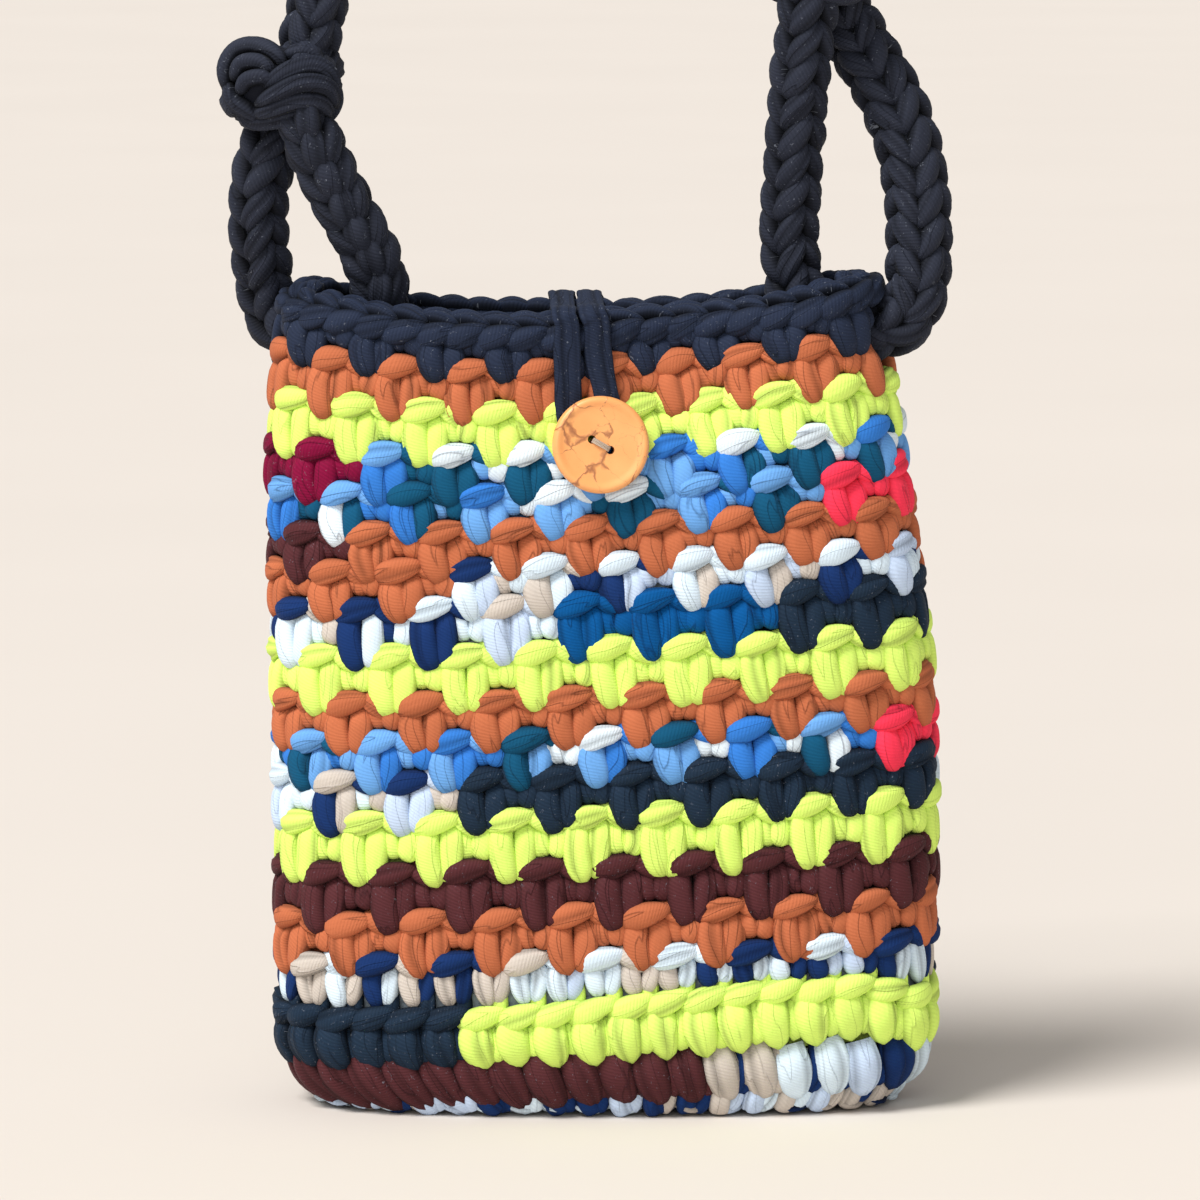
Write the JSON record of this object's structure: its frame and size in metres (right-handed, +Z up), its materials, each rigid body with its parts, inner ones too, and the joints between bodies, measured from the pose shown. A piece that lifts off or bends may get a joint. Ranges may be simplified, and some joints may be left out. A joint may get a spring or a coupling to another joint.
{
  "type": "crocheted shoulder bag",
  "caption": "Crocheted shoulder bag in thick striped jersey yarn, with a corded strap tied through the rim, a closure loop and a wooden button.",
  "frame": {"origin": "centre of the flat underside", "axes": "+Z up, +X to the right as seen from the front, and the front with the button faces -Y"},
  "size_m": [0.2408, 0.0785, 0.4516],
  "materials": {
    "navy": "matte jersey yarn",
    "strap": "matte jersey yarn",
    "terracotta": "matte jersey yarn",
    "lime": "matte jersey yarn",
    "burgundy": "matte jersey yarn",
    "blue": "matte jersey yarn",
    "coral": "matte jersey yarn",
    "brown": "matte jersey yarn",
    "white": "matte jersey yarn",
    "petrol": "matte jersey yarn",
    "charcoal": "matte jersey yarn",
    "wood": "satin lacquer",
    "thread": "waxed cotton"
  },
  "bodies": {
    "root": {"round_01_navy": "navy", "round_02_terracotta": "terracotta", "round_03_lime": "lime", "round_04_blue": "blue", "round_04_burgundy": "burgundy", "round_05_coral": "coral", "round_05_blue": "blue", "round_06_terracotta": "terracotta", "round_06_brown": "brown", "round_07_white": "white", "round_07_terracotta": "terracotta", "round_08_petrol": "petrol", "round_08_charcoal": "charcoal", "round_08_white": "white", "round_09_lime": "lime", "round_10_terracotta": "terracotta", "round_11_coral": "coral", "round_11_blue": "blue", "round_12_charcoal": "charcoal", "round_12_white": "white", "round_13_lime": "lime", "round_14_brown": "brown", "round_15_terracotta": "terracotta", "round_16_white": "white", "round_17_lime": "lime", "round_17_charcoal": "charcoal", "round_18_white": "white", "round_18_brown": "brown", "floor_white": "white", "strap_left_loop": "strap", "strap_left_knot": "strap", "strap_span": "strap", "strap_right_knot": "strap", "strap_right_loop": "strap", "closure_loop": "navy", "button": "wood", "button_thread": "thread"}
  },
  "joints": []
}
